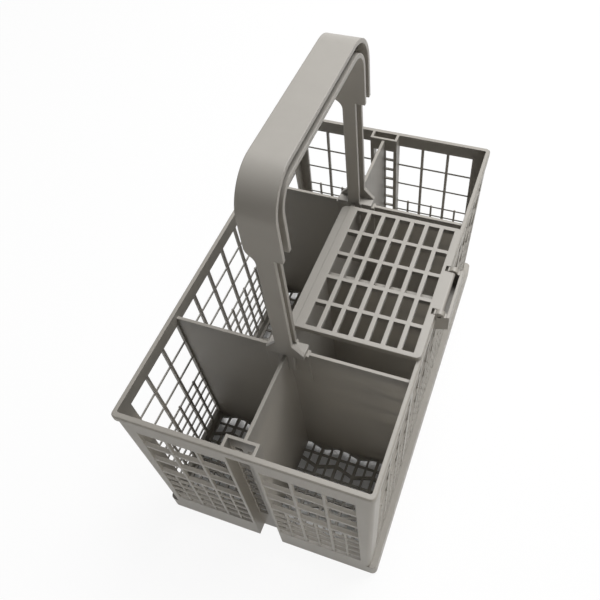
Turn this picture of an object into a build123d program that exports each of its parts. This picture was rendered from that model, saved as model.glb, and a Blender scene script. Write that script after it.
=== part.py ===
from build123d import *
from math import cos, radians, sin, tan
import os

# Dishwasher cutlery basket: a moulded basket, a forked carry handle and a hinged compartment lid.
# Millimetres, X across, Y along the length, +Z up. The functions work about the middle of the plinth,
# and the finished pieces move so that the origin is under the middle of the whole footprint.

# Rim and walls
RIM_LENGTH = 240.0
RIM_WIDTH = 136.0
HEIGHT = 122.0
RIM_CORNER = 3.0
LIP_HEIGHT = 3.5
LIP_PROUD = 1.2
SIDE_LIP_PROUD = 0.6
LIP_CHAMFER = 0.7
BAND_HEIGHT = 8.2
BAND_PROUD = 0.5
WALL = 1.9
SIDE_DRAFT = 2.3
BACK_DRAFT = 1.8
WALL_CORNER = 2.6
INNER_CORNER_MIN = 1.0

# Plinth and openwork floor
PLINTH_BACK_INSET = 2.0
PLINTH_SIDE_INSET = 1.5
PLINTH_HEIGHT = 10.5
PLINTH_WALL = 2.0
PLINTH_CORNER = 3.0
FLOOR_THICKNESS = 2.0
FLOOR_COLUMNS = 10
FLOOR_END_ROWS = 4
FLOOR_MIDDLE_ROWS = 7
FLOOR_RIB = 1.8
FLOOR_ZIGZAG = 3.2
FLOOR_BORDER = 1.5

# Wall grids: tall openings in three rows, low openings below them, with ribs that slope down outwards
GRID_BOTTOM = 16.6
GRID_TALL_ROWS = 3
GRID_LOW_ROWS = 6
GRID_POST = 1.6
GRID_RIB = 1.2
GRID_RIB_SLOPE = 45.0
GRID_INSET = 0.15
END_POST = 9.6
END_GRID_COLUMNS = 3
SIDE_POST = 11.0
SIDE_GRID_COLUMNS = 3
MIDDLE_GRID_COLUMNS = 6
DIVIDER_POST = 4.0
FRONT_BAND_HEIGHT = 13.9
FRONT_GRID_BOTTOM = 18.5
FRONT_LOW_ROWS = 5
FRONT_TALL_RIB = 2.2
FRONT_LOW_RIB_DEPTH = 0.8

# Dividers
DIVIDER = 1.8
DIVIDER_Y = 55.0
DIVIDER_DROP = 3.7
CROSS_WALL_DROP = 6.0
BACK_FIN_DROP = 1.0
BACK_FIN_GAP = 11.0
BACK_FIN_NOSE = 6.0
BACK_FIN_UNDERCUT = 18.0
BACK_FIN_CHAMFER = 29.0

# End channels with a ladder of slots
CHANNEL_WIDTH = 14.6
CHANNEL_WALL = 1.6
CHANNEL_DEPTH = 9.5
LADDER_DROP = 9.0
LADDER_PITCH = 8.4
LADDER_ROWS = 11
LADDER_RUNG = 0.9
LADDER_SIDE = 0.5

# Handle: I-section inverted U with forked legs
HANDLE_RISE = 117.3
HANDLE_DEPTH = 9.0
HANDLE_FLANGE = 2.2
HANDLE_WEB = 2.0
HANDLE_BEND = 20.0
GRIP_WIDTH = 18.0
LEG_WIDTH = 9.0
INNER_LEG_WIDTH = 7.0
INNER_FOOT_WIDTH = 9.0
SHOULDER_DEPTH = 36.6
SHOULDER_DROP = 9.5
FOOT_WIDTH = 21.0
FOOT_RISE = 2.8
FOOT_SLOPE = 48.0
FORK_DEPTH = 13.0
FORK_CLEARANCE = 0.2
FORK_ROOM = 1.0
BARB_WIDTH = 6.0
BARB_HEIGHT = 3.0
BARB_DEPTH = 1.0
BARB_CLEARANCE = 0.3

# Seats for the handle legs on the cross dividers
SEAT_WIDTH = 24.0
SEAT_DROP = 16.0
SEAT_FADE = 12.0
LEG_CLEARANCE = 0.3

# Compartment lid
LID_THICKNESS = 3.0
LID_LENGTH = 90.0
LID_EDGE_SETBACK = 0.5
LID_CORNER = 3.0
LID_COLUMNS = 7
LID_ROWS = 5
LID_BAR = 2.4
LID_RUNG = 2.3
LID_SIDE_BORDER = 4.2
LID_END_BORDER = 2.6
LID_LEFT_BORDER = 5.2
LID_LIP_REACH = 4.5
LID_LIP_THICKNESS = 2.2
LID_LIP_DROP = 3.6
LID_LIP_STEP = 0.7

# Lid hinge
TONGUE_WIDTH = 26.0
EAR_NOTCH = 2.4
HINGE_OFFSET = 1.5
KNUCKLE_RADIUS = 1.5
PIN_RADIUS = 0.9
PIN_LENGTH = 3.0
PIN_CLEARANCE = 0.3
EAR_CLEARANCE = 0.4
EAR_THICKNESS = 3.0
EAR_WALL = 1.4
EAR_INBOARD = 1.5
POCKET_BAR = 1.6
POCKET_GAP = 2.3
POCKET_DEPTH = 9.5
POCKET_BAR_RISE = 2.0
POCKET_SET_DOWN = 1.0

# How far joined solids overlap, and how far a cut runs past the face it opens
LAP = 1.0
OVERRUN = 1.0

# Sizes that follow from those above
wall_width = RIM_WIDTH - 2 * SIDE_LIP_PROUD
wall_length = RIM_LENGTH - 2 * LIP_PROUD
plinth_width = RIM_WIDTH - 2 * PLINTH_SIDE_INSET
plinth_front = -wall_length / 2
plinth_back = RIM_LENGTH / 2 - PLINTH_BACK_INSET
floor_bottom = PLINTH_HEIGHT - FLOOR_THICKNESS
grid_top = HEIGHT - BAND_HEIGHT
front_grid_top = HEIGHT - FRONT_BAND_HEIGHT
channel_outer = CHANNEL_WIDTH / 2 + CHANNEL_WALL
channel_face = RIM_LENGTH / 2 - CHANNEL_DEPTH
divider_top = HEIGHT - DIVIDER_DROP
handle_top = divider_top + HANDLE_RISE
shoulder_top = handle_top - SHOULDER_DEPTH
handle_span = 2 * DIVIDER_Y + HANDLE_DEPTH
lid_top = HEIGHT + LID_THICKNESS
lid_right = RIM_WIDTH / 2 - LID_EDGE_SETBACK
hinge_x = RIM_WIDTH / 2 + HINGE_OFFSET
hinge_z = lid_top - KNUCKLE_RADIUS
ear_inner = TONGUE_WIDTH / 2 + EAR_CLEARANCE
ear_outer = ear_inner + EAR_THICKNESS
bar_inner = hinge_x + KNUCKLE_RADIUS + POCKET_GAP
bar_outer = bar_inner + POCKET_BAR


def slab(x_range, y_range, z_range):
    """A box given by its limits along each axis."""
    size = [high - low for low, high in (x_range, y_range, z_range)]
    middle = [(high + low) / 2 for low, high in (x_range, y_range, z_range)]
    return Pos(*middle) * Box(*size)


def rounded_prism(width, length, radius, bottom, top):
    """An upright prism with a rounded rectangular plan."""
    return Pos(0, 0, bottom) * extrude(RectangleRounded(width, length, radius), top - bottom)


def half_width_at(z):
    """Half the walls' outer width at a height."""
    return wall_width / 2 - (HEIGHT - z) * tan(radians(SIDE_DRAFT))


def back_at(z):
    """How far back the back wall's outer face lies at a height."""
    return wall_length / 2 - (HEIGHT - z) * tan(radians(BACK_DRAFT))


def drafted_block(inset, bottom):
    """The block inside the outer wall face, set in by a distance: an upright front, other walls tapered."""
    wide = wall_width / 2 - inset
    narrow = half_width_at(bottom) - inset
    across = [(-narrow, bottom), (narrow, bottom), (wide, HEIGHT), (-wide, HEIGHT)]
    front = inset - wall_length / 2
    back = wall_length / 2 - inset
    back_foot = back_at(bottom) - inset
    along = [(front, bottom), (back_foot, bottom), (back, HEIGHT), (front, HEIGHT)]
    sides = Face(Wire.make_polygon([Vector(x, 0, z) for x, z in across], close=True))
    ends = Face(Wire.make_polygon([Vector(0, y, z) for y, z in along], close=True))
    block = extrude(sides, wall_length, both=True) & extrude(ends, wall_width, both=True)
    upright = [edge for edge in block.edges() if abs((edge % 0.5).Z) > 0.5]
    return fillet(upright, max(WALL_CORNER - inset, INNER_CORNER_MIN))


def plinth_plan(inset):
    """The plinth's plan, set in by a distance: flush with the upright front wall."""
    width = plinth_width - 2 * inset
    length = plinth_back - plinth_front - 2 * inset
    plan = RectangleRounded(width, length, PLINTH_CORNER - inset)
    return Pos(0, (plinth_back + plinth_front) / 2, 0) * plan


def rectangle_wire(x_range, y_range):
    """A closed rectangular wire in the XY plane."""
    left, right = x_range
    front, back = y_range
    corners = [(left, front), (right, front), (right, back), (left, back)]
    return Wire.make_polygon([Vector(x, y, 0) for x, y in corners], close=True)


def spans(low, high, count, rib):
    """Equal openings between two limits, with ribs between them."""
    pitch = (high - low + rib) / count
    return [(low + i * pitch, low + (i + 1) * pitch - rib) for i in range(count)]


def grid_rows(bottom, top, low_count, tall_rib):
    """The low rows and then the tall rows of a wall grid, a tall row being as high as two low rows."""
    unit = (top - bottom) / (low_count + 2 * GRID_TALL_ROWS)
    low_top = bottom + unit * low_count - GRID_RIB / 2
    low_rows = spans(bottom, low_top, low_count, GRID_RIB)
    return low_rows + spans(low_top + tall_rib, top, GRID_TALL_ROWS, tall_rib)


def grid_panel(width, columns, rows, shallow_rows):
    """A flat grid in the XY plane, centred in X with Y as height, whose ribs slope down along +Z.

    The ribs in the lowest rows, shallow_rows of them, are cut back from the inside.
    """
    half = width / 2
    fields = spans(-half, half, columns, GRID_POST)
    outline = rectangle_wire((-half - LAP, half + LAP), (rows[0][0] - LAP, rows[-1][1] + LAP))
    holes = []
    for column in fields:
        for row in rows:
            holes.append(rectangle_wire(column, row))
    thickness = WALL - 2 * GRID_INSET
    fall = radians(GRID_RIB_SLOPE)
    panel = extrude(Face(outline, holes), amount=thickness / cos(fall), dir=(0, -sin(fall), cos(fall)))
    if shallow_rows == 0:
        return panel
    height = (rows[0][0], rows[shallow_rows - 1][1])
    inside = (-OVERRUN, thickness - FRONT_LOW_RIB_DEPTH)
    return panel - [slab(column, height, inside) for column in fields]


def on_wall(panel, half_size, draft, along, outward_angle):
    """Sets a grid panel in a wall: along is its place there, outward_angle turns it about Z."""
    inner_face = half_size - HEIGHT * tan(radians(draft)) - WALL + GRID_INSET
    outward = (cos(radians(draft)), 0, -sin(radians(draft)))
    stand = Plane(origin=(inner_face, along, 0), x_dir=(0, 1, 0), z_dir=outward)
    return Rot(0, 0, outward_angle) * stand.location * panel


def wall_windows():
    """Every grid field: half size, draft, angle, place along the wall, width, columns, rows, shallow rows."""
    rows = grid_rows(GRID_BOTTOM, grid_top, GRID_LOW_ROWS, GRID_RIB)
    front_rows = grid_rows(FRONT_GRID_BOTTOM, front_grid_top, FRONT_LOW_ROWS, FRONT_TALL_RIB)
    end_limit = wall_width / 2 - END_POST
    end_width = end_limit - channel_outer
    end_middle = (end_limit + channel_outer) / 2
    side_limit = wall_length / 2 - SIDE_POST
    side_width = side_limit - DIVIDER_Y - DIVIDER_POST / 2
    side_middle = (side_limit + DIVIDER_Y + DIVIDER_POST / 2) / 2
    middle_width = 2 * DIVIDER_Y - DIVIDER_POST
    side = (wall_width / 2, SIDE_DRAFT)
    back = (wall_length / 2, BACK_DRAFT, 90)
    front = (wall_length / 2, 0, 270)
    fields = []
    for sign in (-1, 1):
        end = (sign * end_middle, end_width, END_GRID_COLUMNS)
        fields += [back + end + (rows, 0), front + end + (front_rows, FRONT_LOW_ROWS)]
        for turn in (0, 180):
            fields.append(side + (turn, sign * side_middle, side_width, SIDE_GRID_COLUMNS, rows, 0))
    fields += [side + (turn, 0, middle_width, MIDDLE_GRID_COLUMNS, rows, 0) for turn in (0, 180)]
    return fields


def walls():
    """The tapered shell with a window for every grid, the end channels' slots and the grids themselves."""
    reach = WALL + HEIGHT * tan(radians(max(SIDE_DRAFT, BACK_DRAFT))) + OVERRUN
    cuts = []
    grids = []
    for half_size, draft, turn, along, width, columns, rows, shallow_rows in wall_windows():
        across = (along - width / 2, along + width / 2)
        window = slab((half_size - reach, half_size + OVERRUN), across, (rows[0][0], rows[-1][1]))
        cuts.append(Rot(0, 0, turn) * window)
        panel = grid_panel(width, columns, rows, shallow_rows)
        grids.append(on_wall(panel, half_size, draft, along, turn))
    slot = CHANNEL_WIDTH / 2
    for sign in (-1, 1):
        end = sorted((sign * channel_face, sign * RIM_LENGTH / 2))
        cuts.append(slab((-slot, slot), end, (0, grid_top)))
    shell = drafted_block(0, floor_bottom) - drafted_block(WALL, 0) - cuts
    return shell + grids


def rim():
    """The lip around the top and the band under it, which dies away into the front wall."""
    core_width = wall_width - WALL
    core_length = wall_length - WALL
    corner = WALL_CORNER - WALL / 2
    core = rounded_prism(core_width, core_length, corner, grid_top - OVERRUN, HEIGHT + OVERRUN)
    lip = rounded_prism(RIM_WIDTH, RIM_LENGTH, RIM_CORNER, HEIGHT - LIP_HEIGHT, HEIGHT)
    lip = chamfer(lip.edges().group_by(Axis.Z)[-1], LIP_CHAMFER)
    band_width = 2 * half_width_at(grid_top) + 2 * BAND_PROUD
    band_back = back_at(grid_top) + BAND_PROUD
    band_length = band_back + wall_length / 2 - BAND_PROUD
    band = rounded_prism(band_width, band_length, WALL_CORNER + BAND_PROUD, grid_top, HEIGHT - LIP_HEIGHT)
    return lip + Pos(0, band_back - band_length / 2, 0) * band - core


def floor_rows():
    """Every row of floor openings as its back and front limits, between the channels and the dividers."""
    end = channel_face - FLOOR_BORDER
    near = DIVIDER_Y - FLOOR_RIB / 2
    far = DIVIDER_Y + FLOOR_RIB / 2
    rows = spans(-end, -far, FLOOR_END_ROWS, 0)
    rows += spans(-near, near, FLOOR_MIDDLE_ROWS, 0)
    rows += spans(far, end, FLOOR_END_ROWS, 0)
    return rows


def floor_opening(column, row, leans_left):
    """One floor opening: its front and back edges follow the zigzag ribs."""
    left = FLOOR_ZIGZAG / 2 if leans_left else -FLOOR_ZIGZAG / 2
    front = row[0] + FLOOR_RIB / 2
    back = row[1] - FLOOR_RIB / 2
    points = [
        (column[0], front - left),
        (column[1], front + left),
        (column[1], back + left),
        (column[0], back - left),
    ]
    return Wire.make_polygon([Vector(x, y, 0) for x, y in points], close=True)


def floor_and_plinth():
    """The openwork floor on a hollow plinth with a notch at each end channel."""
    half = half_width_at(PLINTH_HEIGHT) - WALL - FLOOR_BORDER
    columns = spans(-half, half, FLOOR_COLUMNS, FLOOR_RIB)
    holes = []
    for row in floor_rows():
        for i, column in enumerate(columns):
            holes.append(floor_opening(column, row, i % 2 == 0))
    plan = plinth_plan(0).face().outer_wire()
    plate = Pos(0, 0, floor_bottom) * extrude(Face(plan, holes), FLOOR_THICKNESS)
    outer = extrude(plinth_plan(0), PLINTH_HEIGHT - FLOOR_THICKNESS / 2)
    hollow = Pos(0, 0, -OVERRUN) * extrude(plinth_plan(PLINTH_WALL), PLINTH_HEIGHT + OVERRUN)
    notches = []
    slot = CHANNEL_WIDTH / 2
    for sign in (-1, 1):
        end = sorted((sign * (channel_face + CHANNEL_WALL), sign * RIM_LENGTH / 2))
        notches.append(slab((-slot, slot), end, (-OVERRUN, PLINTH_HEIGHT + OVERRUN)))
    return plate + (outer - hollow) - notches


def channel(sign):
    """The inner wall and two side walls of an end channel, with a ladder of slots in the inner wall."""
    outer_y = channel_face + CHANNEL_WALL
    inner_wall = slab((-channel_outer, channel_outer), (channel_face, outer_y), (0, HEIGHT))
    sides = []
    for side in (-1, 1):
        limits = sorted((side * CHANNEL_WIDTH / 2, side * channel_outer))
        sides.append(slab(limits, (channel_face, wall_length / 2), (0, HEIGHT)))
    slots = []
    slot_inner = DIVIDER / 2 + LADDER_SIDE
    slot_outer = CHANNEL_WIDTH / 2 - LADDER_SIDE
    through = (channel_face - OVERRUN, outer_y + OVERRUN)
    for row in range(LADDER_ROWS):
        top = HEIGHT - LADDER_DROP - row * LADDER_PITCH
        for side in (-1, 1):
            limits = sorted((side * slot_inner, side * slot_outer))
            slots.append(slab(limits, through, (top - LADDER_PITCH + LADDER_RUNG, top)))
    walls_here = Rot(0, 0, 0 if sign > 0 else 180) * (inner_wall + sides - slots)
    reach = drafted_block(WALL / 2, 0) + extrude(plinth_plan(PLINTH_WALL / 2), PLINTH_HEIGHT)
    return walls_here & reach


def back_fin():
    """The half wall at the back, whose front end is cut away below its nose."""
    top = HEIGHT - BACK_FIN_DROP
    nose_low = top - BACK_FIN_NOSE
    front = DIVIDER_Y + BACK_FIN_GAP
    foot = front + BACK_FIN_UNDERCUT
    profile = [
        (channel_face + CHANNEL_WALL / 2, floor_bottom),
        (channel_face + CHANNEL_WALL / 2, top),
        (front, top),
        (front, nose_low),
        (foot, nose_low - BACK_FIN_CHAMFER),
        (foot, floor_bottom),
    ]
    face = Face(Wire.make_polygon([Vector(0, y, z) for y, z in profile], close=True))
    return extrude(face, amount=DIVIDER / 2, dir=(1, 0, 0), both=True)


def dividers():
    """Cross dividers, the centre walls, the short wall under the lid and the half wall at the back."""
    half = DIVIDER / 2
    wide = RIM_WIDTH / 2
    bottom = floor_bottom
    cross = [
        slab((-wide, wide), (y - half, y + half), (bottom, divider_top))
        for y in (-DIVIDER_Y, DIVIDER_Y)
    ]
    front_end = -channel_face - CHANNEL_WALL / 2
    front = slab((-half, half), (front_end, -DIVIDER_Y), (bottom, divider_top))
    leg_room = HANDLE_DEPTH / 2 + LEG_CLEARANCE
    leg_height = (divider_top - FORK_DEPTH - FORK_ROOM, HEIGHT + OVERRUN)
    front -= slab((-wide, wide), (-DIVIDER_Y - leg_room, -DIVIDER_Y), leg_height)
    centre = slab((-half, half), (-DIVIDER_Y, DIVIDER_Y), (bottom, HEIGHT))
    for sign in (-1, 1):
        end = sorted((sign * (DIVIDER_Y - leg_room), sign * DIVIDER_Y))
        centre -= slab((-wide, wide), end, leg_height)
    short = slab((0, wide), (-half, half), (bottom, HEIGHT - CROSS_WALL_DROP))
    inside = drafted_block(WALL / 2, 0)
    return [piece & inside for piece in cross + [front, centre, short]] + [back_fin()]


def leg_seat(sign):
    """The pad on a cross divider that fills a handle leg's fork, fading out below, with a barb recess."""
    half = HANDLE_DEPTH / 2 - HANDLE_FLANGE - FORK_CLEARANCE
    low = divider_top - SEAT_DROP
    fade = low - SEAT_FADE
    section = [
        (half, divider_top),
        (-half, divider_top),
        (-half, low),
        (-DIVIDER / 2, fade),
        (DIVIDER / 2, fade),
        (half, low),
    ]
    outline = Wire.make_polygon([Vector(0, y, z) for y, z in section], close=True)
    pad = extrude(Face(outline), SEAT_WIDTH / 2, both=True)
    recess_width = BARB_WIDTH / 2 + BARB_CLEARANCE
    recess_height = BARB_HEIGHT / 2 + BARB_CLEARANCE
    middle = divider_top - FORK_DEPTH / 2
    depth = BARB_DEPTH - FORK_CLEARANCE + BARB_CLEARANCE
    height = (middle - recess_height, middle + recess_height)
    pad -= slab((-recess_width, recess_width), (half - depth, half), height)
    return Rot(0, 0, 0 if sign > 0 else 180) * Pos(0, DIVIDER_Y, 0) * pad


def hinge_pocket():
    """Two ears on the right rim with pin holes, joined by an outer bar and a sloped underside."""
    low = HEIGHT - POCKET_DEPTH
    top = HEIGHT - POCKET_SET_DOWN
    wall_x = half_width_at(low) - WALL / 2
    profile = [
        (wall_x, low - POCKET_BAR),
        (bar_outer, low + POCKET_BAR),
        (bar_outer, top),
        (wall_x, top),
    ]
    outline = Wire.make_polygon([Vector(x, 0, z) for x, z in profile], close=True)
    block = extrude(Face(outline), ear_outer, both=True)
    bar_height = (top - LAP, HEIGHT + POCKET_BAR_RISE)
    block += slab((bar_inner, bar_outer), (-ear_outer, ear_outer), bar_height)
    well_height = (low + POCKET_BAR, HEIGHT + OVERRUN)
    block -= slab((RIM_WIDTH / 2, bar_inner), (-ear_inner, ear_inner), well_height)
    knob_radius = PIN_RADIUS + PIN_CLEARANCE + EAR_WALL
    lie = Pos(hinge_x, 0, hinge_z) * Rot(90, 0, 0)
    for side in (-1, 1):
        limits = sorted((side * ear_inner, side * ear_outer))
        block += Pos(0, sum(limits) / 2, 0) * lie * Cylinder(knob_radius, EAR_THICKNESS)
        block += slab((hinge_x - knob_radius, bar_inner + POCKET_BAR / 2), limits, (top - LAP, hinge_z))
        block += slab((RIM_WIDTH / 2 - EAR_INBOARD, hinge_x), limits, (HEIGHT - LAP, lid_top))
    block -= lie * Cylinder(PIN_RADIUS + PIN_CLEARANCE, 2 * (ear_outer + OVERRUN))
    return block - drafted_block(WALL / 2, 0)


def basket():
    """The one-piece basket moulding."""
    ends = [channel(sign) for sign in (-1, 1)]
    seats = [leg_seat(sign) for sign in (-1, 1)]
    return walls() + [rim(), floor_and_plinth(), hinge_pocket()] + ends + dividers() + seats


def bow(inset):
    """The handle's upright outline in the YZ plane, set in by a distance, open at the bottom."""
    bottom = divider_top - FORK_DEPTH
    half = handle_span / 2 - inset
    top = handle_top - inset
    radius = HANDLE_BEND - inset
    outline = Pos(0, (top + bottom) / 2) * Rectangle(2 * half, top - bottom)
    outline = fillet(outline.vertices().group_by(Axis.Y)[-1], radius)
    return Plane.YZ * outline


def shoulder(leg, square):
    """The edges that widen half a leg to half the grip, in one square step or by two arcs."""
    grip = GRIP_WIDTH / 2
    step = shoulder_top - SHOULDER_DROP / 2
    if square:
        return [Line((leg, step), (grip, step))]
    middle = ((leg + grip) / 2, step)
    lower = TangentArc((leg, shoulder_top - SHOULDER_DROP), middle, tangent=(0, 1))
    return [lower, TangentArc((grip, shoulder_top), middle, tangent=(0, -1))]


def half_outline(leg, foot, square):
    """Half a flange from the front: half a foot that slopes in to half a leg, which widens to the grip."""
    grip = GRIP_WIDTH / 2
    tip = divider_top + FOOT_RISE
    ankle = tip + (foot - leg) * tan(radians(FOOT_SLOPE))
    step = shoulder_top - SHOULDER_DROP / 2
    low = step if square else shoulder_top - SHOULDER_DROP
    high = step if square else shoulder_top
    bottom = divider_top - FORK_DEPTH
    top = handle_top + OVERRUN
    edges = [
        Line((0, bottom), (leg, bottom)),
        Line((leg, bottom), (leg, divider_top)),
        Line((leg, divider_top), (foot, divider_top)),
        Line((foot, divider_top), (foot, tip)),
        Line((foot, tip), (leg, ankle)),
        Line((leg, ankle), (leg, low)),
        Line((grip, high), (grip, top)),
        Line((grip, top), (0, top)),
        Line((0, top), (0, bottom)),
    ]
    return make_face(Curve() + edges + shoulder(leg, square))


def flange_outline(leg_width, foot_width):
    """A flange from the front, with square shoulders on the right and rounded ones on the left."""
    right = half_outline(leg_width / 2, foot_width / 2, True)
    left = half_outline(leg_width / 2, foot_width / 2, False)
    return extrude(Plane.XZ * (right + mirror(left, Plane.YZ)), handle_span, both=True)


def foot_pad(sign):
    """The low pad between a foot's two flanges, resting on the divider."""
    foot = FOOT_WIDTH / 2
    depth = HANDLE_DEPTH / 2 - HANDLE_FLANGE / 2
    limits = (sign * DIVIDER_Y - depth, sign * DIVIDER_Y + depth)
    return slab((-foot, foot), limits, (divider_top, divider_top + FOOT_RISE))


def handle():
    """The handle: two flanges, a web between them, feet with pads on the dividers, and snap barbs."""
    insets = (0, HANDLE_FLANGE, HANDLE_DEPTH - HANDLE_FLANGE, HANDLE_DEPTH)
    outlines = [bow(inset) for inset in insets]
    outer = extrude(outlines[0] - outlines[1], FOOT_WIDTH, both=True)
    inner = extrude(outlines[2] - outlines[3], FOOT_WIDTH, both=True)
    web = extrude(outlines[1] - outlines[2], HANDLE_WEB / 2, both=True)
    web -= slab((-GRIP_WIDTH, GRIP_WIDTH), (-handle_span, handle_span), (0, divider_top))
    body = outer & flange_outline(LEG_WIDTH, FOOT_WIDTH)
    body += (inner & flange_outline(INNER_LEG_WIDTH, INNER_FOOT_WIDTH)) + web
    middle = divider_top - FORK_DEPTH / 2
    for sign in (-1, 1):
        body += foot_pad(sign)
        face = handle_span / 2 - HANDLE_FLANGE
        limits = sorted((sign * (face - BARB_DEPTH), sign * (face + HANDLE_FLANGE / 2)))
        height = (middle - BARB_HEIGHT / 2, middle + BARB_HEIGHT / 2)
        body += slab((-BARB_WIDTH / 2, BARB_WIDTH / 2), limits, height)
    return body


def lid_plate():
    """The flat lid with its grid of openings and a stepped, turned-down lip along its left edge."""
    left = -LID_LIP_REACH
    half = LID_LENGTH / 2
    plate = slab((left, lid_right), (-half, half), (HEIGHT, lid_top))
    plate = fillet(plate.edges().filter_by(Axis.Z), LID_CORNER)
    step_top = lid_top - LID_LIP_STEP
    plate -= slab((left - OVERRUN, 0), (-half - OVERRUN, half + OVERRUN), (step_top, lid_top + OVERRUN))
    lip_half = half - LID_CORNER
    lip = slab((left, left + LID_LIP_THICKNESS), (-lip_half, lip_half), (HEIGHT - LID_LIP_DROP, step_top))
    return plate + lip


def lid():
    """The lid with its openings, and the hinge tongue between two notches with a knuckle and stub pins."""
    half = LID_LENGTH / 2
    plate = lid_plate()
    through = (HEIGHT - OVERRUN, lid_top + OVERRUN)
    cuts = []
    for column in spans(LID_LEFT_BORDER, lid_right - LID_SIDE_BORDER, LID_COLUMNS, LID_BAR):
        for row in spans(-half + LID_END_BORDER, half - LID_END_BORDER, LID_ROWS, LID_RUNG):
            cuts.append(slab(column, row, through))
    for side in (-1, 1):
        notch = sorted((side * TONGUE_WIDTH / 2, side * (ear_outer + EAR_CLEARANCE)))
        cuts.append(slab((lid_right - EAR_NOTCH, lid_right + OVERRUN), notch, through))
    plate -= cuts
    tongue = slab((lid_right - LAP, hinge_x), (-TONGUE_WIDTH / 2, TONGUE_WIDTH / 2), (HEIGHT, lid_top))
    lie = Pos(hinge_x, 0, hinge_z) * Rot(90, 0, 0)
    knuckle = lie * Cylinder(KNUCKLE_RADIUS, TONGUE_WIDTH)
    pins = lie * Cylinder(PIN_RADIUS, TONGUE_WIDTH + 2 * PIN_LENGTH)
    return plate + tongue + knuckle + pins


os.makedirs("parts", exist_ok=True)
to_origin = Pos((RIM_WIDTH / 2 - bar_outer) / 2, 0, 0)
export_step(to_origin * basket(), "parts/basket.step")
export_step(to_origin * handle(), "parts/handle.step")
export_step(to_origin * lid(), "parts/compartment_lid.step")
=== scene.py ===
from math import cos, radians, sin, tan

import bpy
import numpy as np
from mathutils import Matrix


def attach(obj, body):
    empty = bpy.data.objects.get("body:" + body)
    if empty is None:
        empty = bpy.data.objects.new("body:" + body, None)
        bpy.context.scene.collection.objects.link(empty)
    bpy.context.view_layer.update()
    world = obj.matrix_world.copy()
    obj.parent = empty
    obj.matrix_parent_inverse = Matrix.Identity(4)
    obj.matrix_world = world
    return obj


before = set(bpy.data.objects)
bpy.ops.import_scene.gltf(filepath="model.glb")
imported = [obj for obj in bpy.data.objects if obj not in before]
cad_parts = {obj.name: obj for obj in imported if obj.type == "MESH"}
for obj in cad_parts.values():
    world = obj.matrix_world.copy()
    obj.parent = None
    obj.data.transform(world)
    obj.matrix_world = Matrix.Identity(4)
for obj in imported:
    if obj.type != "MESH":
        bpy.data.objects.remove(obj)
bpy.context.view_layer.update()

# Sizes of the basket that the added ribs follow, in millimetres about the middle of the plinth
MM = 0.001
FOOTPRINT_SHIFT = -3.45
HEIGHT = 122.0
WALL = 1.9
SIDE_DRAFT = radians(2.3)
BACK_DRAFT = radians(1.8)
FRONT_DRAFT = 0.0
WALL_HALF_WIDTH = 67.4
WALL_HALF_LENGTH = 118.8
PLINTH_HALF_WIDTH = 66.5
PLINTH_FRONT = -118.8
PLINTH_BACK = 118.0
GRID_BOTTOM = 16.6
GRID_SPLIT = 64.6
FRONT_GRID_BOTTOM = 18.5
FRONT_GRID_SPLIT = 58.6
GRID_POST = 1.6
END_COLUMNS = 3
SIDE_COLUMNS = 3
MIDDLE_COLUMNS = 6
CHANNEL_OUTER = 8.9
CHANNEL_HALF = 7.3
CHANNEL_FACE = 110.5
END_POST = 9.6
SIDE_POST = 11.0
DIVIDER_Y = 55.0
DIVIDER_POST = 4.0
FLOOR_TOP = 10.5
FLOOR_THICKNESS = 2.0
FLOOR_COLUMNS = 10
FLOOR_RIB = 1.8
FLOOR_END = 109.0
FLOOR_HALF = 59.52
FLOOR_END_ROWS = 4
FLOOR_MIDDLE_ROWS = 7

# Sizes of the added ribs, in millimetres
HALF_POST_WIDTH = 1.3
HALF_POST_DEPTH = 1.5
HALF_POST_SUNK = 0.6
FLOOR_THIN_RIB = 1.2
FLOOR_THIN_DEPTH = 1.9
RIB_EDGE = 0.25
RIB_EDGE_POINTS = 4

# Moulded plastic: its patterns' scales per metre, their shares in colour and gloss, and the grain's relief
CLOUD_SCALE = 38.0
STREAK_SCALE = (260.0, 260.0, 26.0)
GRAIN_SCALE = 2600.0
CLOUD_DETAIL = 4.0
STREAK_DETAIL = 3.0
GRAIN_DETAIL = 2.0
PATTERN_MIDDLE = 0.5
CLOUD_SHARE = 0.7
STREAK_SHARE = 0.3
MOTTLE = 0.07
# Edges: the gain of the edge mask, and the share of painted highlight that it mixes into the edges' colour
EDGE_GAIN = 5.0
EDGE_HIGHLIGHT_SHARE = 0.5
ROUGHNESS = 0.44
STREAK_ROUGHNESS = 0.16
GRAIN_ROUGHNESS = 0.1
EDGE_POLISH = 0.06
GRAIN_STRENGTH = 0.25
GRAIN_HEIGHT = 0.06
EDGE_SAMPLES = 6
PLASTIC_IOR = 1.49
PLASTIC_SPECULAR = 0.45

# Each solid's finish: name, linear colours of faces and of the painted highlight on their edges, and the
# edges' rounding in millimetres
FINISHES = {
    "basket": ("basket_plastic", (0.312, 0.293, 0.262), (0.363, 0.343, 0.310), 0.4),
    "handle": ("handle_plastic", (0.322, 0.305, 0.278), (0.374, 0.355, 0.325), 0.7),
    "compartment_lid": ("lid_plastic", (0.318, 0.300, 0.271), (0.370, 0.350, 0.318), 0.5),
}

# Studio floor: its half size in metres, its paper, and the share of plain white that the camera sees on it,
# lowered under the plinth as painted shade that fades out over an edge in millimetres
STUDIO_HALF = 4.0
PAPER = (0.92, 0.92, 0.92, 1.0)
PAPER_ROUGHNESS = 0.9
PAPER_SPECULAR = 0.1
WHITE_SHARE = 0.92
WHITE_SHARE_IN_PAINTED_SHADE = 0.04
PLINTH_SHADE_EDGE = 4.0

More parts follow.
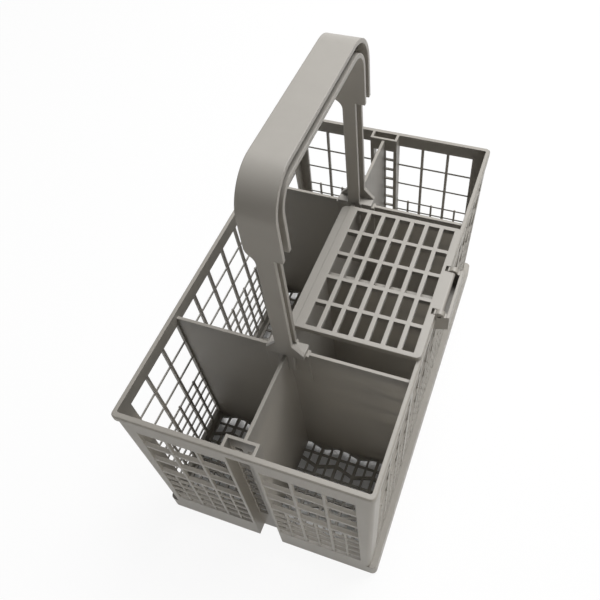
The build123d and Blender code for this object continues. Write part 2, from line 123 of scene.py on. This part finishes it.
# Studio light: each lamp's name, place, target and size in metres, its power in watts and its tint
WORLD_STRENGTH = 0.04
WHITE = (1.0, 1.0, 1.0)
WARM = (1.0, 0.92, 0.78)
LAMPS = [
    ("back_softbox", (0.26, 0.54, 1.25), (0.0, 0.0, 0.08), 0.8, 23.0, WHITE),
    ("left_bounce", (-0.80, -0.50, 0.06), (0.0, -0.10, 0.10), 0.3, 0.9, WARM),
    ("right_bounce", (0.70, -0.62, 0.05), (0.0, -0.10, 0.10), 0.3, 1.9, WARM),
]

# Camera fitted to the photograph: pixels of its picture, and millimetres about the middle of the plinth
PICTURE = 600.0
FOCAL_LENGTH = 672.3
AXIS_RIGHT_OF_MIDDLE = 32.5
AXIS_BELOW_MIDDLE = 0.2
CAMERA_PLACE = (102.90, -218.40, 410.49)
CAMERA_RIGHT = (0.9386, 0.3393, -0.0624)
CAMERA_DOWN = (0.2374, -0.7664, -0.5969)
CAMERA_FORWARD = (-0.2503, 0.5454, -0.7999)
SENSOR_WIDTH = 36.0
NEAREST_SEEN = 0.01


class Value:
    """A node socket that takes part in Python sums: each operator adds one Math node."""

    def __init__(self, tree, socket=None):
        self.tree = tree
        self.socket = socket

    def node(self, kind, settings=None, inputs=None, output=0):
        """Adds a node, makes its settings first, then sets or links its sockets, and wraps an output."""
        made = self.tree.nodes.new(kind)
        for name, setting in (settings or {}).items():
            setattr(made, name, setting)
        for name, value in (inputs or {}).items():
            if isinstance(value, Value):
                self.tree.links.new(value.socket, made.inputs[name])
            else:
                made.inputs[name].default_value = value
        return Value(self.tree, made.outputs[output])

    def sum(self, operation, first, second):
        return self.node("ShaderNodeMath", {"operation": operation}, {0: first, 1: second})

    def __add__(self, other):
        return self.sum("ADD", self, other)

    def __radd__(self, other):
        return self.sum("ADD", other, self)

    def __sub__(self, other):
        return self.sum("SUBTRACT", self, other)

    def __rsub__(self, other):
        return self.sum("SUBTRACT", other, self)

    def __mul__(self, other):
        return self.sum("MULTIPLY", self, other)

    def __rmul__(self, other):
        return self.sum("MULTIPLY", other, self)

    def at_most(self, limit):
        return self.sum("MINIMUM", self, limit)

    def at_least(self, limit):
        return self.sum("MAXIMUM", self, limit)

    def blend(self, first, second):
        """A colour that goes from the first to the second as this value goes from 0 to 1.

        A Mix node's two colours are its sockets 6 and 7, and the mixed colour is its output 2.
        """
        sockets = {0: self, 6: first, 7: second}
        return self.node("ShaderNodeMix", {"data_type": "RGBA"}, sockets, output=2)


def moulded_plastic(name, shade, edge_highlight_shade, edge_round):
    """Satin moulded plastic: cloudy colour, streaks in the gloss, a fine grain and soft edges, painted
    lighter as a highlight.
    """
    material = bpy.data.materials.new(name)
    material.use_nodes = True
    tree = material.node_tree
    surface = tree.nodes["Principled BSDF"]
    make = Value(tree)
    place = make.node("ShaderNodeTexCoord", output="Object")
    cloud = {"Vector": place, "Scale": CLOUD_SCALE, "Detail": CLOUD_DETAIL}
    clouds = make.node("ShaderNodeTexNoise", inputs=cloud)
    stretch = make.node("ShaderNodeMapping", inputs={"Vector": place, "Scale": STREAK_SCALE})
    streak = {"Vector": stretch, "Scale": 1.0, "Detail": STREAK_DETAIL}
    streaks = make.node("ShaderNodeTexNoise", inputs=streak)
    speck = {"Vector": place, "Scale": GRAIN_SCALE, "Detail": GRAIN_DETAIL}
    grain = make.node("ShaderNodeTexNoise", inputs=speck)
    soft = make.node("ShaderNodeBevel", {"samples": EDGE_SAMPLES}, {"Radius": edge_round * MM})
    flat = make.node("ShaderNodeNewGeometry", output="Normal")
    both = {0: soft, 1: flat}
    facing = make.node("ShaderNodeVectorMath", {"operation": "DOT_PRODUCT"}, both, output="Value")
    edge = ((1.0 - facing) * EDGE_GAIN).at_most(1.0).at_least(0.0)
    dark = tuple((1.0 - MOTTLE) * c for c in shade) + (1.0,)
    light = tuple((1.0 + MOTTLE) * c for c in shade) + (1.0,)
    mottled = (clouds * CLOUD_SHARE + streaks * STREAK_SHARE).blend(dark, light)
    # Painted highlight: the edges' colour is mixed towards a lighter colour
    highlighted = (edge * EDGE_HIGHLIGHT_SHARE).blend(mottled, edge_highlight_shade + (1.0,))
    uneven = (streaks - PATTERN_MIDDLE) * STREAK_ROUGHNESS
    rough = ROUGHNESS + uneven + (grain - PATTERN_MIDDLE) * GRAIN_ROUGHNESS - edge * EDGE_POLISH
    grained = {"Strength": GRAIN_STRENGTH, "Distance": GRAIN_HEIGHT * MM, "Height": grain, "Normal": soft}
    relief = make.node("ShaderNodeBump", inputs=grained)
    for socket, value in (("Base Color", highlighted), ("Roughness", rough), ("Normal", relief)):
        tree.links.new(value.socket, surface.inputs[socket])
    surface.inputs["IOR"].default_value = PLASTIC_IOR
    surface.inputs["Specular IOR Level"].default_value = PLASTIC_SPECULAR
    return material


def dress(node, material):
    """Gives a solid its finish."""
    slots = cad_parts[node].data.materials
    slots.clear()
    slots.append(material)


def rounded_profile(width, depth, edge):
    """A closed rounded rectangle: each corner is a quarter circle of radius edge, set in from the corner."""
    turn = np.linspace(0.0, np.pi / 2, RIB_EDGE_POINTS)
    quarter = np.arange(4)[:, None] * np.pi / 2 + turn[None, :]
    signs = np.array([[1, 1], [-1, 1], [-1, -1], [1, -1]])
    centre = signs * np.array([width / 2 - edge, depth / 2 - edge])
    points = centre[:, None, :] + edge * np.stack([np.cos(quarter), np.sin(quarter)], axis=-1)
    return points.reshape(-1, 2)


def bars(name, starts, ends, across, profile):
    """Straight bars, each a profile carried from its start to its end.

    A vertex is the bar's start or end + u * across + v * (across x along), for (u, v) round the profile.
    Both ends are closed by the profile itself.
    """
    along = ends - starts
    upright = np.cross(across, along / np.linalg.norm(along, axis=1, keepdims=True))
    ring = profile[:, 0, None] * across[:, None, :] + profile[:, 1, None] * upright[:, None, :]
    points = np.stack([starts, ends], axis=1)[:, :, None, :] + ring[:, None, :, :]
    corners = len(profile)
    here = np.arange(corners)
    after = (here + 1) % corners
    first = 2 * corners * np.arange(len(starts))[:, None]
    sides = first[:, :, None] + np.stack([here, after, corners + after, corners + here], axis=-1)
    caps = (first + here[::-1]).tolist() + (first + corners + here).tolist()
    moved = points.reshape(-1, 3) + np.array([FOOTPRINT_SHIFT, 0.0, 0.0])
    mesh = bpy.data.meshes.new(name)
    mesh.from_pydata((moved * MM).tolist(), [], sides.reshape(-1, 4).tolist() + caps)
    mesh.validate()
    mesh.update()
    piece = bpy.data.objects.new(name, mesh)
    bpy.context.scene.collection.objects.link(piece)
    return piece


def column_middles(centre, width, columns):
    """The middle of each opening in a grid field, equal openings with posts between them."""
    pitch = (width + GRID_POST) / columns
    return centre - width / 2 + (pitch - GRID_POST) / 2 + np.arange(columns) * pitch


def mirrored_fields(near, far, columns):
    """Two equal grid fields, from near to far on each side: the middle, width and columns of each."""
    return [(side * (far + near) / 2, far - near, columns) for side in (-1, 1)]


def half_posts():
    """The finer posts that halve the low openings: bars up the middle of each column, along the wall's draft.

    A point at height z on a wall lies at half size - (height - z) * tan(draft) - wall / 2 from the middle.
    """
    end_fields = mirrored_fields(CHANNEL_OUTER, WALL_HALF_WIDTH - END_POST, END_COLUMNS)
    side_fields = mirrored_fields(DIVIDER_Y + DIVIDER_POST / 2, WALL_HALF_LENGTH - SIDE_POST, SIDE_COLUMNS)
    side_fields.append((0.0, 2 * DIVIDER_Y - DIVIDER_POST, MIDDLE_COLUMNS))
    walls = [
        (0, WALL_HALF_WIDTH, SIDE_DRAFT, side_fields, GRID_BOTTOM, GRID_SPLIT),
        (90, WALL_HALF_LENGTH, BACK_DRAFT, end_fields, GRID_BOTTOM, GRID_SPLIT),
        (180, WALL_HALF_WIDTH, SIDE_DRAFT, side_fields, GRID_BOTTOM, GRID_SPLIT),
        (270, WALL_HALF_LENGTH, FRONT_DRAFT, end_fields, FRONT_GRID_BOTTOM, FRONT_GRID_SPLIT),
    ]
    starts, ends, across = [], [], []
    for angle, half_size, draft, fields, bottom, split in walls:
        place = np.concatenate([column_middles(*field) for field in fields])
        out = np.array([cos(radians(angle)), sin(radians(angle)), 0.0])
        side = np.array([-sin(radians(angle)), cos(radians(angle)), 0.0])
        for points, z in ((starts, bottom - HALF_POST_SUNK), (ends, split + HALF_POST_SUNK)):
            reach = half_size - (HEIGHT - z) * tan(draft) - WALL / 2
            points.append(place[:, None] * side + reach * out + np.array([0.0, 0.0, z]))
        across.append(np.tile(side, (len(place), 1)))
    starts, ends, across = (np.concatenate(parts) for parts in (starts, ends, across))
    profile = rounded_profile(HALF_POST_WIDTH, HALF_POST_DEPTH, RIB_EDGE)
    return bars("wall_half_posts", starts, ends, across, profile)


def floor_thin_ribs():
    """The thin straight ribs that quarter the floor's openings.

    One runs along the middle of each column and one across the middle of each row, halfway through the floor.
    """
    pitch = (2 * FLOOR_HALF + FLOOR_RIB) / FLOOR_COLUMNS
    columns = -FLOOR_HALF + (pitch - FLOOR_RIB) / 2 + np.arange(FLOOR_COLUMNS) * pitch
    near, far = DIVIDER_Y - FLOOR_RIB / 2, DIVIDER_Y + FLOOR_RIB / 2
    end_pitch = (FLOOR_END - far) / FLOOR_END_ROWS
    middle_pitch = 2 * near / FLOOR_MIDDLE_ROWS
    end_rows = far + end_pitch * (np.arange(FLOOR_END_ROWS) + 0.5)
    middle_rows = -near + middle_pitch * (np.arange(FLOOR_MIDDLE_ROWS) + 0.5)
    rows = np.concatenate([-end_rows[::-1], middle_rows, end_rows])
    level = np.array([0.0, 0.0, FLOOR_TOP - FLOOR_THICKNESS / 2])
    x_axis, y_axis = np.array([1.0, 0.0, 0.0]), np.array([0.0, 1.0, 0.0])
    middles = np.concatenate([columns[:, None] * x_axis, rows[:, None] * y_axis]) + level
    counts = (len(columns), len(rows))
    halves = np.repeat([FLOOR_END * y_axis, FLOOR_HALF * x_axis], counts, axis=0)
    across = np.repeat([x_axis, y_axis], counts, axis=0)
    profile = rounded_profile(FLOOR_THIN_RIB, FLOOR_THIN_DEPTH, RIB_EDGE)
    return bars("floor_thin_ribs", middles - halves, middles + halves, across, profile)


def seen_directly(make):
    """1 for rays that show the background: from the camera, in a gloss, or through something clear."""
    names = ("Is Camera Ray", "Is Glossy Ray", "Is Transmission Ray")
    camera, gloss, clear = (make.node("ShaderNodeLightPath", output=name) for name in names)
    return (camera + gloss + clear).at_most(1.0)


def painted_plinth_shade(make):
    """Painted shade on the floor: low under the hollow plinth, rising to 1 at its edge, and 1 in the end
    notches.
    """
    place = {"Vector": make.node("ShaderNodeTexCoord", output="Object")}
    x = make.node("ShaderNodeSeparateXYZ", inputs=place, output="X") - FOOTPRINT_SHIFT * MM
    y = make.node("ShaderNodeSeparateXYZ", inputs=place, output="Y") - (PLINTH_FRONT + PLINTH_BACK) / 2 * MM
    off_x = x.at_least(0.0 - x)
    off_y = y.at_least(0.0 - y)
    beside = off_x - PLINTH_HALF_WIDTH * MM
    beyond = off_y - (PLINTH_BACK - PLINTH_FRONT) / 2 * MM
    notch = (CHANNEL_HALF * MM - off_x).at_most(off_y - CHANNEL_FACE * MM)
    edge = beside.at_least(beyond).at_least(notch)
    slope = 1.0 / (PLINTH_SHADE_EDGE * MM)
    return (edge * slope + 1.0).at_most(1.0).at_least(WHITE_SHARE_IN_PAINTED_SHADE)


def studio_floor():
    """A wide flat floor of pale paper, nearly white to the camera, that keeps a soft shadow, with painted
    shade under the plinth where the white is taken off.
    """
    half = STUDIO_HALF
    mesh = bpy.data.meshes.new("studio_floor")
    corners = [(-half, -half, 0), (half, -half, 0), (half, half, 0), (-half, half, 0)]
    mesh.from_pydata(corners, [], [(0, 1, 2, 3)])
    floor = bpy.data.objects.new("studio_floor", mesh)
    bpy.context.scene.collection.objects.link(floor)
    material = bpy.data.materials.new("studio_white")
    material.use_nodes = True
    tree = material.node_tree
    make = Value(tree)
    paper = tree.nodes["Principled BSDF"]
    paper.inputs["Base Color"].default_value = PAPER
    paper.inputs["Roughness"].default_value = PAPER_ROUGHNESS
    paper.inputs["Specular IOR Level"].default_value = PAPER_SPECULAR
    # Painted shade: the white that the camera sees is taken off the floor under the plinth
    seen = seen_directly(make) * painted_plinth_shade(make) * WHITE_SHARE
    glow = make.node("ShaderNodeEmission", inputs={"Color": WHITE + (1.0,), "Strength": 1.0})
    mixed = make.node("ShaderNodeMixShader", inputs={0: seen, 1: Value(tree, paper.outputs[0]), 2: glow})
    tree.links.new(mixed.socket, tree.nodes["Material Output"].inputs["Surface"])
    mesh.materials.append(material)


def studio_world(strength):
    """Even pale light from all round, shown as plain white."""
    world = bpy.data.worlds.new("studio_world")
    world.use_nodes = True
    bpy.context.scene.world = world
    make = Value(world.node_tree)
    background = world.node_tree.nodes["Background"]
    level = seen_directly(make) * (1.0 - strength) + strength
    background.inputs["Color"].default_value = WHITE + (1.0,)
    world.node_tree.links.new(level.socket, background.inputs["Strength"])


def placed(right, up, back, place):
    """The matrix of a thing at a place, from the directions of its own axes."""
    turn = np.eye(4)
    turn[:3, :3] = np.stack([right, up, back], axis=1)
    turn[:3, 3] = place
    return Matrix(turn.tolist())


def soft_lamp(name, place, target, size, power, tint):
    """A square soft box at a place, facing a target, in metres and watts, with a tint."""
    lamp = bpy.data.lights.new(name, "AREA")
    lamp.shape = "SQUARE"
    lamp.size = size
    lamp.energy = power
    lamp.color = tint
    held = bpy.data.objects.new(name, lamp)
    bpy.context.scene.collection.objects.link(held)
    back = np.array(place) - np.array(target)
    back = back / np.linalg.norm(back)
    right = np.cross((0.0, 0.0, 1.0), back)
    right = right / np.linalg.norm(right)
    held.matrix_world = placed(right, np.cross(back, right), back, place)


def photo_camera():
    """The camera at the photograph's viewing angle, for a square picture."""
    lens = bpy.data.cameras.new("photo_camera")
    lens.sensor_width = SENSOR_WIDTH
    lens.lens = SENSOR_WIDTH * FOCAL_LENGTH / PICTURE
    lens.shift_x = -AXIS_RIGHT_OF_MIDDLE / PICTURE
    lens.shift_y = AXIS_BELOW_MIDDLE / PICTURE
    lens.clip_start = NEAREST_SEEN
    camera = bpy.data.objects.new("photo_camera", lens)
    bpy.context.scene.collection.objects.link(camera)
    place = (np.array(CAMERA_PLACE) + np.array([FOOTPRINT_SHIFT, 0.0, 0.0])) * MM
    camera.matrix_world = placed(CAMERA_RIGHT, -np.array(CAMERA_DOWN), -np.array(CAMERA_FORWARD), place)
    bpy.context.scene.camera = camera


plastics = {node: moulded_plastic(*finish) for node, finish in FINISHES.items()}
for node, plastic in plastics.items():
    dress(node, plastic)

for piece in (half_posts(), floor_thin_ribs()):
    piece.data.materials.append(plastics["basket"])
    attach(piece, "basket")

studio_floor()
studio_world(WORLD_STRENGTH)
for lamp in LAMPS:
    soft_lamp(*lamp)
photo_camera()
bpy.context.scene.view_settings.view_transform = "Standard"
